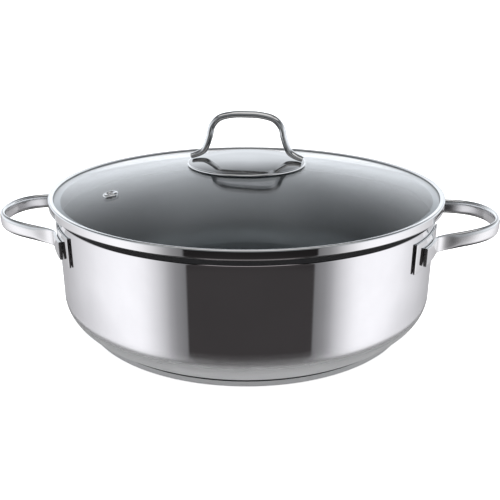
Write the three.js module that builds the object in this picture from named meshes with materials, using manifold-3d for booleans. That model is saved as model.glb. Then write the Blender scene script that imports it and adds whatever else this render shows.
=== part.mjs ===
// Braising pan with a glass lid: a straight-sided stainless pan on a capsule base, with two
// welded strap handles, and a domed glass lid with a steel rim band, a steam vent and an arched
// handle on a round plate. Millimetres, +Z up. The origin is the centre of the base, on the
// surface that the pan stands on. +X runs through the right handle and -Y is the front.
import * as THREE from "three";
import { mergeVertices } from "three/addons/utils/BufferGeometryUtils.js";
import Module from "manifold-3d";

const GAP = 0.3; // clearance left between pieces that touch
const DEGREE = Math.PI / 180;
const ROUND_STEPS = 64; // facets round the pan and the lid
const SMALL_ROUND_STEPS = 24; // facets round the vent and the lid's screw stack

// Pan shell
const WALL_RADIUS = 160;
const SHEET = 1;
const CORNER_WIDTH = 41.7; // the wall turns into the floor on a quarter ellipse
const CORNER_HEIGHT = 29.2;
const CORNER_CENTRE_Z = 29.3;
const CORNER_STEPS = 7;
const LIP_START = 99.3; // where the wall begins to bend outward
const LIP_BEND = 3; // radius of that bend
const LIP_LEAN = 42 * DEGREE; // how far the lip leans out from the wall
const LIP_TOP = 105.4;
const LIP_STEPS = 4;

// Capsule base: an aluminium disc inside a shallow steel cup
const BASE_RADIUS = 143.1;
const BASE_HEIGHT = 5.8;
const BASE_SHEET = 0.8;
const BASE_SEAM = 0.6; // groove between the cup's edge and the shell, beside the usual gap
const BASE_CHAMFER = 1;

// Side handles and their mounting plates
const MOUNT_THICK = 1.4;
const MOUNT_LOW = 70.7;
const MOUNT_HIGH = 94;
const MOUNT_NEAR_ANGLE = 15.5 * DEGREE; // measured from the handle's own axis
const MOUNT_FAR_ANGLE = 36.9 * DEGREE;
const MOUNT_STEPS = 9;
const STRAP_THICK = 2.6; // along its feet
const STRAP_LOOP_THICK = 5;
const STRAP_SWELL = 0.35; // share of the loop's reach over which the strap swells
const STRAP_FOOT_POWER = 8; // shape of the section: 2 is an oval, a high power nearly a rectangle
const STRAP_LOOP_POWER = 2.5;
const STRAP_SIDES = 12;
const STRAP_HEIGHT = 13;
const STRAP_END_HEIGHT = 14.5; // the strap widens along its feet
const STRAP_FOOT_Z = 80.5; // middle of the strap where it lies on its plate
const STRAP_END_ANGLE = 31.8 * DEGREE;
const STRAP_BEND_ANGLE = 21.2 * DEGREE;
const STRAP_TIP = 213.9; // middle of the strap at its furthest point
const STRAP_TIP_RISE = 5.4;
const STRAP_LEAVE = 16; // pull of the loop's curve along the wall
const STRAP_ROUND = 54; // pull of the loop's curve across the tip
const STRAP_FOOT_STEPS = 6;
const STRAP_LOOP_STEPS = 16;

// Lid: glass dome and rim band
const LID_TURN = -6.2 * DEGREE; // the lid stands turned a little on the pan
const GLASS_RADIUS = 164.7;
const GLASS_THICK = 4;
const GLASS_EDGE_TOP = 111;
const GLASS_RISE = 25.5; // height that the slope of the glass would reach over the axis
const GLASS_POWER = 1.4; // 1 would be a cone, 2 a round dome
const GLASS_SEAT = 46; // inside this radius the glass levels out under the handle plate
const GLASS_SEAT_POWER = 6;
const GLASS_HOLE = 5;
const GLASS_STEPS = 6;
const GLASS_SEAT_STEPS = 3;
const BAND_RADIUS = 166;
const BAND_LOW = LIP_TOP + GAP;
const BAND_TOP = 113.6;
const BAND_ROUND = 1.2;
const BAND_LOW_ROUND = 1.6;
const BAND_INNER = 161.9; // inner edge of the fold that grips the glass from above
const BAND_INNER_TOP = 112.5; // the fold slopes down to the glass
const CENTRING_OUTER = 157.3; // ring that drops inside the pan's mouth
const CENTRING_WALL = 1.5;
const CENTRING_LOW = 94;

// Steam vent
const VENT_DISTANCE = 121.2;
const VENT_ANGLE = 218.4 * DEGREE; // measured from the lid handle's right end
const VENT_FLANGE = 6;
const VENT_BORE = 2.2;
const VENT_TUBE = 3.4;
const VENT_HOLE = 3.8;
const VENT_CROWN = 1.6;
const VENT_ROLL_STEPS = 8;
const VENT_TUBE_PROUD = 0.9; // how far the tube stands out below its collar
const VENT_COLLAR = 5.6;
const VENT_COLLAR_THICK = 1;

// Lid handle: plate, arch and the screw stack under them
const PLATE_RADIUS = 50.6;
const PLATE_CROWN = 139.2;
const PLATE_DROP = 5.9; // fall of the plate's top from its middle to its rim
const PLATE_POWER = 2.5; // above 2, so the plate curves most near its rim
const PLATE_THICK = 1.4;
const PLATE_LIP_LOW = 132.1;
const PLATE_STEPS = 9;
const ARCH_THICK = 5.9;
const ARCH_FOOT_THICK = 4.6; // the bar is pressed a little flatter where it stands on the plate
const ARCH_WIDTH = 8;
const ARCH_STEPS = 48;
const ARCH_SIDES = 12;
// Half of the arch's middle line as [distance from the lid's axis, height], from foot to top.
const ARCH_HALF = [
  [48.3, 136.7], [42.5, 138.8], [37.4, 141.9], [34.4, 147], [31.6, 155], [29.4, 163.2], [23, 169.8],
  [12, 172.7], [0, 173.2],
];
const BOSS_RADIUS = 9;
const GASKET_RADIUS = 12;
const WASHER_RADIUS = 12.5;
const SCREW_RADIUS = 2.5;
const SCREW_HEAD = 5.2;
const SCREW_HEAD_HEIGHT = 2.8;
const GASKET_THICK = 1;
const WASHER_THICK = 1.2;

const wasm = await Module();
wasm.setup();

const STEEL = { color: 0xd4d4d6, roughness: 0.12, metalness: 1 };
const SATIN_STEEL = { color: 0xb9babd, roughness: 0.35, metalness: 1 };
const ALUMINIUM = { color: 0xc3c5c7, roughness: 0.4, metalness: 1 };
const GLASS = { color: 0xdfe8e8, roughness: 0.03, metalness: 0 };
const SILICONE = { color: 0x2b2c2e, roughness: 0.7, metalness: 0 };

function piece(name, geometry, look) {
  const mesh = new THREE.Mesh(geometry, new THREE.MeshStandardMaterial(look));
  mesh.name = name;
  return mesh;
}

// Turns a profile of [radius, height] pairs round the Z axis. The profile runs anticlockwise.
function turned(profile, steps = ROUND_STEPS) {
  const points = profile.map(([radius, height]) => new THREE.Vector2(radius, height));
  return new THREE.LatheGeometry(points, steps).rotateX(Math.PI / 2);
}

function ring(inner, outer, low, high) {
  const profile = [[inner, low], [outer, low], [outer, high], [inner, high], [inner, low]];
  return turned(profile, SMALL_ROUND_STEPS);
}

// Points of an elliptical arc, [radius, height], from one angle to another.
function arcPoints(centre, width, height, from, to, steps) {
  return Array.from({ length: steps + 1 }, (_, i) => {
    const angle = from + ((to - from) * i) / steps;
    return [centre[0] + width * Math.cos(angle), centre[1] + height * Math.sin(angle)];
  });
}

// Points of a profile read from a height formula between two radii.
function surfacePoints(height, from, to, steps) {
  return Array.from({ length: steps + 1 }, (_, i) => {
    const radius = from + ((to - from) * i) / steps;
    return [radius, height(radius)];
  });
}

// A closed bar through rings of [x, y, z] points that all have the same count.
function barThrough(rings) {
  const sides = rings[0].length;
  const faces = [];
  for (let i = 0; i < rings.length - 1; i += 1) {
    for (let side = 0; side < sides; side += 1) {
      const next = (side + 1) % sides;
      const [a, b] = [i * sides + side, i * sides + next];
      faces.push(a, b + sides, b, a, a + sides, b + sides);
    }
  }
  const last = (rings.length - 1) * sides;
  for (let side = 1; side < sides - 1; side += 1) {
    faces.push(0, side, side + 1, last, last + side + 1, last + side);
  }
  const bar = new THREE.BufferGeometry();
  bar.setAttribute("position", new THREE.Float32BufferAttribute(rings.flat(2), 3));
  bar.setIndex(faces);
  bar.computeVertexNormals();
  return bar;
}

// Unit vector along a line of points at one of them.
function wayAlong(line, i) {
  const before = line[Math.max(i - 1, 0)];
  const after = line[Math.min(i + 1, line.length - 1)];
  return after.clone().sub(before).normalize();
}

function toManifold(geometry) {
  const bare = geometry.clone();
  bare.deleteAttribute("normal");
  bare.deleteAttribute("uv");
  const merged = mergeVertices(bare);
  return new wasm.Manifold(new wasm.Mesh({
    numProp: 3,
    vertProperties: new Float32Array(merged.attributes.position.array),
    triVerts: new Uint32Array(merged.index.array),
  }));
}

function cut(geometry, cutter) {
  const mesh = toManifold(geometry).subtract(toManifold(cutter)).getMesh();
  const result = new THREE.BufferGeometry();
  result.setAttribute("position", new THREE.BufferAttribute(mesh.vertProperties, 3));
  result.setIndex(new THREE.BufferAttribute(mesh.triVerts, 1));
  result.computeVertexNormals();
  return result;
}

// The pan: floor, corner, straight wall and a lip that leans outward.
function panShell() {
  const floorLow = BASE_HEIGHT + GAP;
  const floorHigh = floorLow + SHEET;
  const cornerCentre = [WALL_RADIUS - CORNER_WIDTH, CORNER_CENTRE_Z];
  const cornerStart = (low, height) => -Math.asin((CORNER_CENTRE_Z - low) / height);
  const outerCorner = arcPoints(cornerCentre, CORNER_WIDTH, CORNER_HEIGHT,
    cornerStart(floorLow, CORNER_HEIGHT), 0, CORNER_STEPS);
  const innerCorner = arcPoints(cornerCentre, CORNER_WIDTH - SHEET, CORNER_HEIGHT - SHEET,
    0, cornerStart(floorHigh, CORNER_HEIGHT - SHEET), CORNER_STEPS);
  const lipCentre = [WALL_RADIUS + LIP_BEND, LIP_START];
  const leaning = Math.PI - LIP_LEAN;
  const outerBend = arcPoints(lipCentre, LIP_BEND, LIP_BEND, Math.PI, leaning, LIP_STEPS);
  const innerBend = arcPoints(lipCentre, LIP_BEND + SHEET, LIP_BEND + SHEET, leaning, Math.PI, LIP_STEPS);
  const [bendEndRadius, bendEndZ] = outerBend[LIP_STEPS];
  const edgeOuter = bendEndRadius + (LIP_TOP - bendEndZ) * Math.tan(LIP_LEAN);
  const edgeInner = edgeOuter - SHEET / Math.cos(LIP_LEAN);
  return turned([
    [0, floorLow], ...outerCorner, ...outerBend, [edgeOuter, LIP_TOP], [edgeInner, LIP_TOP],
    ...innerBend, ...innerCorner, [0, floorHigh],
  ]);
}

function baseCore() {
  const radius = BASE_RADIUS - BASE_SHEET - GAP;
  const low = BASE_SHEET + GAP;
  return turned([
    [0, low], [radius - BASE_CHAMFER, low], [radius, low + BASE_CHAMFER], [radius, BASE_HEIGHT],
    [0, BASE_HEIGHT],
  ]);
}

function baseCap() {
  const inner = BASE_RADIUS - BASE_SHEET;
  const top = BASE_HEIGHT - BASE_SEAM;
  return turned([
    [0, 0], [BASE_RADIUS - BASE_CHAMFER, 0], [BASE_RADIUS, BASE_CHAMFER], [BASE_RADIUS, top],
    [inner, top], [inner, BASE_SHEET + BASE_CHAMFER], [inner - BASE_CHAMFER, BASE_SHEET],
    [0, BASE_SHEET],
  ]);
}

// A plate bent to the wall's curve, on one side of a handle's axis: side is 1 or -1.
function mountPlate(side) {
  const inner = WALL_RADIUS + GAP;
  const near = side > 0 ? MOUNT_NEAR_ANGLE : -MOUNT_FAR_ANGLE;
  const far = side > 0 ? MOUNT_FAR_ANGLE : -MOUNT_NEAR_ANGLE;
  const outline = new THREE.Shape();
  outline.absarc(0, 0, inner + MOUNT_THICK, near, far, false);
  outline.absarc(0, 0, inner, far, near, true);
  const height = MOUNT_HIGH - MOUNT_LOW;
  const plate = new THREE.ExtrudeGeometry(outline, {
    depth: height, bevelEnabled: false, curveSegments: MOUNT_STEPS,
  });
  return plate.translate(0, 0, MOUNT_LOW);
}

// Points round the strap's section, as [across its thickness, up] pairs.
function bulgedSection(thick, height, power) {
  const bulge = (value) => Math.sign(value) * Math.abs(value) ** (2 / power);
  return Array.from({ length: STRAP_SIDES }, (_, side) => {
    const angle = (side * 2 * Math.PI) / STRAP_SIDES;
    return [(bulge(Math.cos(angle)) * thick) / 2, (bulge(Math.sin(angle)) * height) / 2];
  });
}

// The handle strap: each foot follows its plate, then leaves along the wall and loops outward.
// It is flat along its feet and swells into an oval bar round the loop.
function handleStrap() {
  const radius = WALL_RADIUS + GAP + MOUNT_THICK + GAP + STRAP_THICK / 2;
  const bend = new THREE.Vector2(radius, 0).rotateAround(new THREE.Vector2(), STRAP_BEND_ANGLE);
  const leaving = new THREE.Vector2(Math.sin(STRAP_BEND_ANGLE), -Math.cos(STRAP_BEND_ANGLE));
  const tip = new THREE.Vector2(STRAP_TIP, 0);
  const foot = new THREE.EllipseCurve(0, 0, radius, radius, STRAP_END_ANGLE, STRAP_BEND_ANGLE, true);
  const loop = new THREE.CubicBezierCurve(
    bend, bend.clone().addScaledVector(leaving, STRAP_LEAVE),
    tip.clone().add(new THREE.Vector2(0, STRAP_ROUND)), tip,
  );
  const half = [...foot.getPoints(STRAP_FOOT_STEPS), ...loop.getPoints(STRAP_LOOP_STEPS).slice(1)];
  const mirrored = half.slice(0, -1).reverse().map((point) => new THREE.Vector2(point.x, -point.y));
  const line = [...half, ...mirrored];
  const endX = radius * Math.cos(STRAP_END_ANGLE);
  const { clamp, lerp, smoothstep } = THREE.MathUtils;
  return barThrough(line.map((point, i) => {
    const along = wayAlong(line, i);
    const outward = clamp((point.x - bend.x) / (STRAP_TIP - bend.x), 0, 1);
    const alongFoot = clamp((bend.x - point.x) / (bend.x - endX), 0, 1);
    const swell = smoothstep(outward, 0, STRAP_SWELL);
    const thick = lerp(STRAP_THICK, STRAP_LOOP_THICK, swell);
    const power = lerp(STRAP_FOOT_POWER, STRAP_LOOP_POWER, swell);
    const height = lerp(STRAP_HEIGHT, STRAP_END_HEIGHT, alongFoot);
    const middleZ = STRAP_FOOT_Z + STRAP_TIP_RISE * outward;
    return bulgedSection(thick, height, power).map(([across, up]) => [
      point.x + along.y * across, point.y - along.x * across, middleZ + up,
    ]);
  }));
}

// Fall of the glass for each millimetre outward, at a distance from the lid's axis beyond its seat.
const glassSlope = (radius) => (
  ((GLASS_RISE * GLASS_POWER) / GLASS_RADIUS) * (radius / GLASS_RADIUS) ** (GLASS_POWER - 1)
);

// Top of the glass at a distance from the lid's axis.
function glassTop(radius) {
  const beyond = Math.max(radius, GLASS_SEAT);
  const outer = GLASS_EDGE_TOP + GLASS_RISE * (1 - (beyond / GLASS_RADIUS) ** GLASS_POWER);
  const seatRise = (glassSlope(GLASS_SEAT) * GLASS_SEAT) / GLASS_SEAT_POWER;
  return outer + seatRise * (1 - Math.min(radius / GLASS_SEAT, 1) ** GLASS_SEAT_POWER);
}

// Top of the handle plate at a distance from the lid's axis.
const plateTop = (radius) => PLATE_CROWN - PLATE_DROP * (radius / PLATE_RADIUS) ** PLATE_POWER;

// Frame of the vent: its origin is on top of the glass and its Z axis is square to the glass.
function ventFrame() {
  const frame = new THREE.Group();
  const steepness = Math.atan(glassSlope(VENT_DISTANCE));
  frame.position.set(
    VENT_DISTANCE * Math.cos(VENT_ANGLE), VENT_DISTANCE * Math.sin(VENT_ANGLE), glassTop(VENT_DISTANCE),
  );
  frame.rotation.set(0, steepness, VENT_ANGLE, "ZYX");
  frame.updateMatrix();
  return frame;
}

function lidGlass(vent) {
  const under = (radius) => glassTop(radius) - GLASS_THICK;
  const dome = turned([
    ...surfacePoints(under, GLASS_HOLE, GLASS_SEAT, GLASS_SEAT_STEPS),
    ...surfacePoints(under, GLASS_SEAT, GLASS_RADIUS, GLASS_STEPS).slice(1),
    ...surfacePoints(glassTop, GLASS_RADIUS, GLASS_SEAT, GLASS_STEPS),
    ...surfacePoints(glassTop, GLASS_SEAT, GLASS_HOLE, GLASS_SEAT_STEPS).slice(1),
    [GLASS_HOLE, under(GLASS_HOLE)],
  ]);
  const drillLength = 4 * GLASS_THICK;
  const drill = new THREE.CylinderGeometry(VENT_HOLE, VENT_HOLE, drillLength, SMALL_ROUND_STEPS);
  return cut(dome, drill.rotateX(Math.PI / 2).applyMatrix4(vent.matrix));
}

// Channel that grips the glass edge, with the ring that centres the lid in the pan.
function lidRimBand() {
  const channel = GLASS_RADIUS + GAP;
  const channelFloor = GLASS_EDGE_TOP - GLASS_THICK - GAP;
  const centringInner = CENTRING_OUTER - CENTRING_WALL;
  return turned([
    [centringInner, CENTRING_LOW], [CENTRING_OUTER, CENTRING_LOW], [CENTRING_OUTER, BAND_LOW],
    [BAND_RADIUS - BAND_LOW_ROUND, BAND_LOW], [BAND_RADIUS, BAND_LOW + BAND_LOW_ROUND],
    [BAND_RADIUS, BAND_TOP - BAND_ROUND], [BAND_RADIUS - BAND_ROUND, BAND_TOP],
    [BAND_INNER, BAND_INNER_TOP], [BAND_INNER, glassTop(BAND_INNER) + GAP],
    [channel, glassTop(channel) + GAP], [channel, channelFloor],
    [centringInner, channelFloor], [centringInner, CENTRING_LOW],
  ]);
}

// Rolled eyelet that lines the vent, seen from its own frame.
function ventEyelet() {
  const tubeLow = -(GLASS_THICK + GAP + VENT_COLLAR_THICK + VENT_TUBE_PROUD);
  const flangeLow = GAP;
  const rollMiddle = (VENT_FLANGE + VENT_BORE) / 2;
  const roll = arcPoints([rollMiddle, flangeLow], VENT_FLANGE - rollMiddle, VENT_CROWN - flangeLow,
    0, Math.PI, VENT_ROLL_STEPS);
  return turned([
    [VENT_BORE, tubeLow], [VENT_TUBE, tubeLow], [VENT_TUBE, flangeLow], ...roll, [VENT_BORE, tubeLow],
  ], SMALL_ROUND_STEPS);
}

function ventCollar() {
  const high = -GLASS_THICK - GAP;
  return ring(VENT_TUBE + GAP, VENT_COLLAR, high - VENT_COLLAR_THICK, high);
}

// Shallow polished disc with a turned-down rim.
function handlePlate() {
  const under = (radius) => plateTop(radius) - PLATE_THICK;
  const rimInner = PLATE_RADIUS - PLATE_THICK;
  return turned([
    ...surfacePoints(under, 0, rimInner, PLATE_STEPS),
    [rimInner, PLATE_LIP_LOW], [PLATE_RADIUS, PLATE_LIP_LOW],
    ...surfacePoints(plateTop, PLATE_RADIUS, 0, PLATE_STEPS),
  ]);
}

// The arch: an oval bar that follows its middle line in the XZ plane, closed at both feet.
function lidHandle() {
  const mirrored = ARCH_HALF.slice(0, -1).reverse().map(([x, z]) => [-x, z]);
  const route = [...ARCH_HALF, ...mirrored].map(([x, z]) => new THREE.Vector2(x, z));
  const line = new THREE.SplineCurve(route).getSpacedPoints(ARCH_STEPS);
  const [footX] = ARCH_HALF[0];
  const [heelX] = ARCH_HALF[2];
  return barThrough(line.map((point, i) => {
    const along = wayAlong(line, i);
    const alongFoot = THREE.MathUtils.clamp((Math.abs(point.x) - heelX) / (footX - heelX), 0, 1);
    const thick = THREE.MathUtils.lerp(ARCH_THICK, ARCH_FOOT_THICK, alongFoot);
    return Array.from({ length: ARCH_SIDES }, (_, side) => {
      const angle = ((side + 0.5) * 2 * Math.PI) / ARCH_SIDES;
      const across = (thick / 2) * Math.cos(angle);
      const depth = (ARCH_WIDTH / 2) * Math.sin(angle);
      return [point.x - along.y * across, depth, point.y + along.x * across];
    });
  }));
}

// Stack under the handle plate, from the boss down to the screw's head.
function screwStack() {
  const glassHigh = glassTop(0);
  const glassLow = glassHigh - GLASS_THICK;
  const gasketHigh = glassHigh + GAP + GASKET_THICK;
  const bore = SCREW_RADIUS + GAP;
  const bossHigh = plateTop(BOSS_RADIUS) - PLATE_THICK - GAP;
  const innerGasketLow = glassLow - GAP - GASKET_THICK;
  const washerHigh = innerGasketLow - GAP;
  const headHigh = washerHigh - WASHER_THICK - GAP;
  const headLow = headHigh - SCREW_HEAD_HEIGHT;
  const screwTop = bossHigh - 2 * GAP;
  const crown = SCREW_HEAD_HEIGHT / 3;
  const screw = turned([
    [0, headLow], [SCREW_HEAD - crown, headLow], [SCREW_HEAD, headLow + crown], [SCREW_HEAD, headHigh],
    [SCREW_RADIUS, headHigh], [SCREW_RADIUS, screwTop - GAP], [SCREW_RADIUS - GAP, screwTop], [0, screwTop],
  ], SMALL_ROUND_STEPS);
  return [
    piece("handle_boss", ring(bore, BOSS_RADIUS, gasketHigh + GAP, bossHigh), SATIN_STEEL),
    piece("plate_gasket", ring(bore, GASKET_RADIUS, glassHigh + GAP, gasketHigh), SILICONE),
    piece("inner_gasket", ring(bore, GASKET_RADIUS, innerGasketLow, glassLow - GAP), SILICONE),
    piece("inner_washer", ring(bore, WASHER_RADIUS, washerHigh - WASHER_THICK, washerHigh), STEEL),
    piece("lid_screw", screw, STEEL),
  ];
}

const pan = new THREE.Group();
pan.add(
  piece("pan_shell", panShell(), STEEL),
  piece("base_core", baseCore(), ALUMINIUM),
  piece("base_cap", baseCap(), SATIN_STEEL),
);
for (const [name, turn] of [["right", 0], ["left", Math.PI]]) {
  const grip = new THREE.Group();
  grip.rotation.z = turn;
  const frontSide = name === "right" ? -1 : 1;
  grip.add(
    piece(`${name}_handle_strap`, handleStrap(), STEEL),
    piece(`${name}_front_mount`, mountPlate(frontSide), STEEL),
    piece(`${name}_rear_mount`, mountPlate(-frontSide), STEEL),
  );
  pan.add(grip);
}

const lid = new THREE.Group();
lid.rotation.z = LID_TURN;
const vent = ventFrame();
vent.add(piece("vent_eyelet", ventEyelet(), STEEL), piece("vent_collar", ventCollar(), STEEL));
lid.add(
  piece("lid_glass", lidGlass(vent), GLASS),
  piece("lid_rim_band", lidRimBand(), STEEL),
  piece("handle_plate", handlePlate(), STEEL),
  piece("lid_handle", lidHandle(), STEEL),
  ...screwStack(),
  vent,
);

const braisingPan = new THREE.Group();
braisingPan.add(pan, lid);

export default braisingPan;
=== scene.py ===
"""Braising pan with a glass lid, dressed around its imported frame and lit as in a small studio.

Metres, +Z up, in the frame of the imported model: the origin is the centre of the base on the floor,
+X runs through the right handle and -Y is the front. Each piece below repeats the sizes of the
solid that it stands for, with finer curves and rounded edges.
"""
import math

import bmesh
import bpy
from mathutils import Matrix, Vector


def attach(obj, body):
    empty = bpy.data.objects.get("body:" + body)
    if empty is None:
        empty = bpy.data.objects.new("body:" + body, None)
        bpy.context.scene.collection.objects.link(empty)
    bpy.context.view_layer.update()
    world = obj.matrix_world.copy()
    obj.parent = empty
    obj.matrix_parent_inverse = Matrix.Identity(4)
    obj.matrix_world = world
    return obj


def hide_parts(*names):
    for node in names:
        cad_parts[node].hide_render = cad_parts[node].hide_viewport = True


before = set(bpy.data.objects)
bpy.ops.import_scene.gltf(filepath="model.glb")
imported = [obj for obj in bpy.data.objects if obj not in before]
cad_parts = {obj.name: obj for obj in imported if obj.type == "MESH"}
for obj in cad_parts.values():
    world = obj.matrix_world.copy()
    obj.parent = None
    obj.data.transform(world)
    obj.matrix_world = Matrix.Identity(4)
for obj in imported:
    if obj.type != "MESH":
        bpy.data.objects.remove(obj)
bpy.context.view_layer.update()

MM = 0.001
GAP = 0.3 * MM  # clearance between pieces that touch
TURN_STEPS = 192  # facets round the pan and the lid
SMALL_TURN_STEPS = 64  # facets round the vent and the lid's screw stack
ROUND_STEPS = 6  # facets across a rounded edge
SUPPORT = 0.15 * MM  # loops beside a rounded edge keep the flat next to it flat
SMALL_ROUND = 0.3 * MM  # rounding of small edges
SHARP = math.radians(32)  # edges with a wider bend than this are shaded as corners
OVAL = 2  # power of a bar's section: 2 is an oval, a high power comes near a rectangle

# Pan shell
WALL_RADIUS = 160 * MM
SHEET = 1 * MM
CORNER_WIDTH = 41.7 * MM
CORNER_HEIGHT = 29.2 * MM
CORNER_CENTRE_Z = 29.3 * MM
CORNER_STEPS = 48
LIP_START = 99.3 * MM
LIP_BEND = 3 * MM  # radius of the bend from the wall into the flare
LIP_LEAN = math.radians(42)  # how far the flare leans out from the wall
LIP_TOP = 105.4 * MM
LIP_STEPS = 24
SHADED_LIP_ROWS = 10  # rows of faces under the lip that carry painted shade, the dark gap under the lid's band

# Capsule base
BASE_RADIUS = 143.1 * MM
BASE_HEIGHT = 5.8 * MM
BASE_SHEET = 0.8 * MM
BASE_SEAM = 0.6 * MM  # groove between the cup's edge and the shell, beside the usual gap
SEAM_EASE = 0.5 * MM  # the cup's edge is eased down, which opens the seam to the eye
SEAM_ROUND = 0.16 * MM
BASE_ROUND = 1 * MM

# Side handles
MOUNT_THICK = 1.4 * MM
MOUNT_LOW = 70.7 * MM
MOUNT_HIGH = 94 * MM
MOUNT_NEAR_ANGLE = math.radians(15.5)
MOUNT_FAR_ANGLE = math.radians(36.9)
MOUNT_STEPS = 24
MOUNT_END_INSET = 0.9  # share of its rounding that the plate's end face is drawn in by
STRAP_THICK = 2.6 * MM  # along its feet
STRAP_LOOP_THICK = 5 * MM
STRAP_SWELL = 0.35  # share of the loop's reach over which the strap swells
STRAP_FOOT_POWER = 8
STRAP_LOOP_POWER = 2.5
STRAP_SIDES = 40
STRAP_HEIGHT = 13 * MM
STRAP_END_HEIGHT = 14.5 * MM
STRAP_FOOT_Z = 80.5 * MM
STRAP_END_ANGLE = math.radians(31.8)
STRAP_BEND_ANGLE = math.radians(21.2)
STRAP_TIP = 213.9 * MM
STRAP_TIP_RISE = 5.4 * MM
STRAP_LEAVE = 16 * MM  # pull of the loop's curve where it leaves the wall
STRAP_ROUND = 54 * MM  # pull of the loop's curve across the tip
STRAP_FOOT_STEPS = 16
STRAP_LOOP_STEPS = 60

# Lid
LID_TURN = math.radians(-6.2)
GLASS_RADIUS = 164.7 * MM
GLASS_THICK = 4 * MM
GLASS_EDGE_TOP = 111 * MM
GLASS_RISE = 25.5 * MM
GLASS_POWER = 1.4  # 1 would be a cone, 2 a round dome
GLASS_SEAT = 46 * MM
GLASS_SEAT_POWER = 6
GLASS_HOLE = 5 * MM
GLASS_STEPS = 60
GLASS_SEAT_STEPS = 20
BAND_RADIUS = 166 * MM
BAND_LOW = LIP_TOP + GAP
BAND_TOP = 113.6 * MM
BAND_ROUND = 1.2 * MM
BAND_LOW_ROUND = 1.6 * MM
BAND_INNER = 161.9 * MM
BAND_INNER_TOP = 112.5 * MM
CENTRING_OUTER = 157.3 * MM
CENTRING_WALL = 1.5 * MM
CENTRING_LOW = 94 * MM

# Steam vent
VENT_DISTANCE = 121.2 * MM
VENT_ANGLE = math.radians(218.4)
VENT_FLANGE = 6 * MM
VENT_BORE = 2.2 * MM
VENT_TUBE = 3.4 * MM
VENT_HOLE = 3.8 * MM
VENT_CROWN = 1.6 * MM
VENT_ROLL_STEPS = 20
VENT_TUBE_PROUD = 0.9 * MM
VENT_COLLAR = 5.6 * MM
VENT_COLLAR_THICK = 1 * MM

# Lid handle and its screw stack
PLATE_RADIUS = 50.6 * MM
PLATE_CROWN = 139.2 * MM
PLATE_DROP = 5.9 * MM
PLATE_POWER = 2.5
PLATE_THICK = 1.4 * MM
PLATE_LIP_LOW = 132.1 * MM
PLATE_EDGE = 1 * MM  # rounding of the rim, in the plain polish and so brighter than the rest of the plate, which is darkened as painted shade
PLATE_STEPS = 40
PLATE_UNDER_STEPS = 30
ARCH_THICK = 5.9 * MM
ARCH_FOOT_THICK = 4.6 * MM
ARCH_WIDTH = 8 * MM
ARCH_SIDES = 40
ARCH_STEPS = 10  # between each two points of its middle line
ARCH_END = 1.2 * MM  # length of the rounding at the end of each foot
# Half of the arch's middle line, foot to top: (distance from the lid's axis, height) in millimetres.
ARCH_HALF = [
    (48.3, 136.7), (42.5, 138.8), (37.4, 141.9), (34.4, 147), (31.6, 155), (29.4, 163.2),
    (23, 169.8), (12, 172.7), (0, 173.2),
]
BOSS_RADIUS = 9 * MM
GASKET_RADIUS = 12 * MM
GASKET_THICK = 1 * MM
WASHER_RADIUS = 12.5 * MM
WASHER_THICK = 1.2 * MM
SCREW_RADIUS = 2.5 * MM
SCREW_HEAD = 5.2 * MM
SCREW_HEAD_HEIGHT = 2.8 * MM
SCREW_SOCKET = 2.3 * MM
SCREW_SOCKET_DEPTH = 0.6  # share of the head's height
HEXAGON = 6

# Finishes
NOISE_LOW, NOISE_HIGH = 0.3, 0.7  # a noise texture seldom leaves this range
HAZE_LOW, HAZE_HIGH = 0.1, 0.45  # the same for the product of two noises
BUFF_BUMP = {"Strength": 0.02, "Distance": 0.02 * MM}
RING_BUMP = {"Strength": 0.25, "Distance": 0.05 * MM}
GRAIN_BUMP = {"Strength": 0.2, "Distance": 0.05 * MM}
FOOT_METAL = 0.72  # the brushed foot scatters some light as a matt surface does
# How far the polish has faded into the brushed foot: (height in millimetres, share).
FOOT_FADE = [(15, 1), (19, 0.9), (23.5, 0.69), (27, 0.45), (29.8, 0.34), (32, 0.13), (36, 0)]
FOOT_SPAN = 50  # millimetres that the list above is read over

# Camera, from the circles of the rim, wall and base in the photograph
CAMERA_DISTANCE = 541 * MM
CAMERA_HEIGHT = 252 * MM
CAMERA_AZIMUTH = math.radians(3)
CAMERA_PITCH = math.radians(20.26)
CAMERA_NEAREST = 10 * MM
SENSOR_WIDTH = 36
IMAGE_SIDE = 500
FOCAL_PIXELS = 640
AXIS_PIXEL = 246.5  # column of the image that the pan's axis stands in

# Studio
FLOOR_HALF = 60
FLOOR_LEVEL = -0.2 * MM  # no face of the floor, card and base lies on another
FLOOR_GLOW = 0.8
CARD_RADIUS = 182 * MM
CARD_LEVEL = -0.1 * MM
LAMP_ENERGY = 2.5
LAMP_ANGLE = math.radians(70)
LAMP_HEIGHT = 2
BACKDROP = 1.2  # plain white that the camera sees beyond the floor's far edge
SKY_TINT = (0.95, 0.995, 1.05)
WALL_TINT = (1.0, 0.993, 1.03)
FRONT_TINT = (1.08, 0.99, 1.02)
FRONT = math.radians(5.3)  # direction that the dark side of the studio lies in, from -Y towards +X

QUARTER_TURN, HALF_TURN = 90, 180
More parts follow.
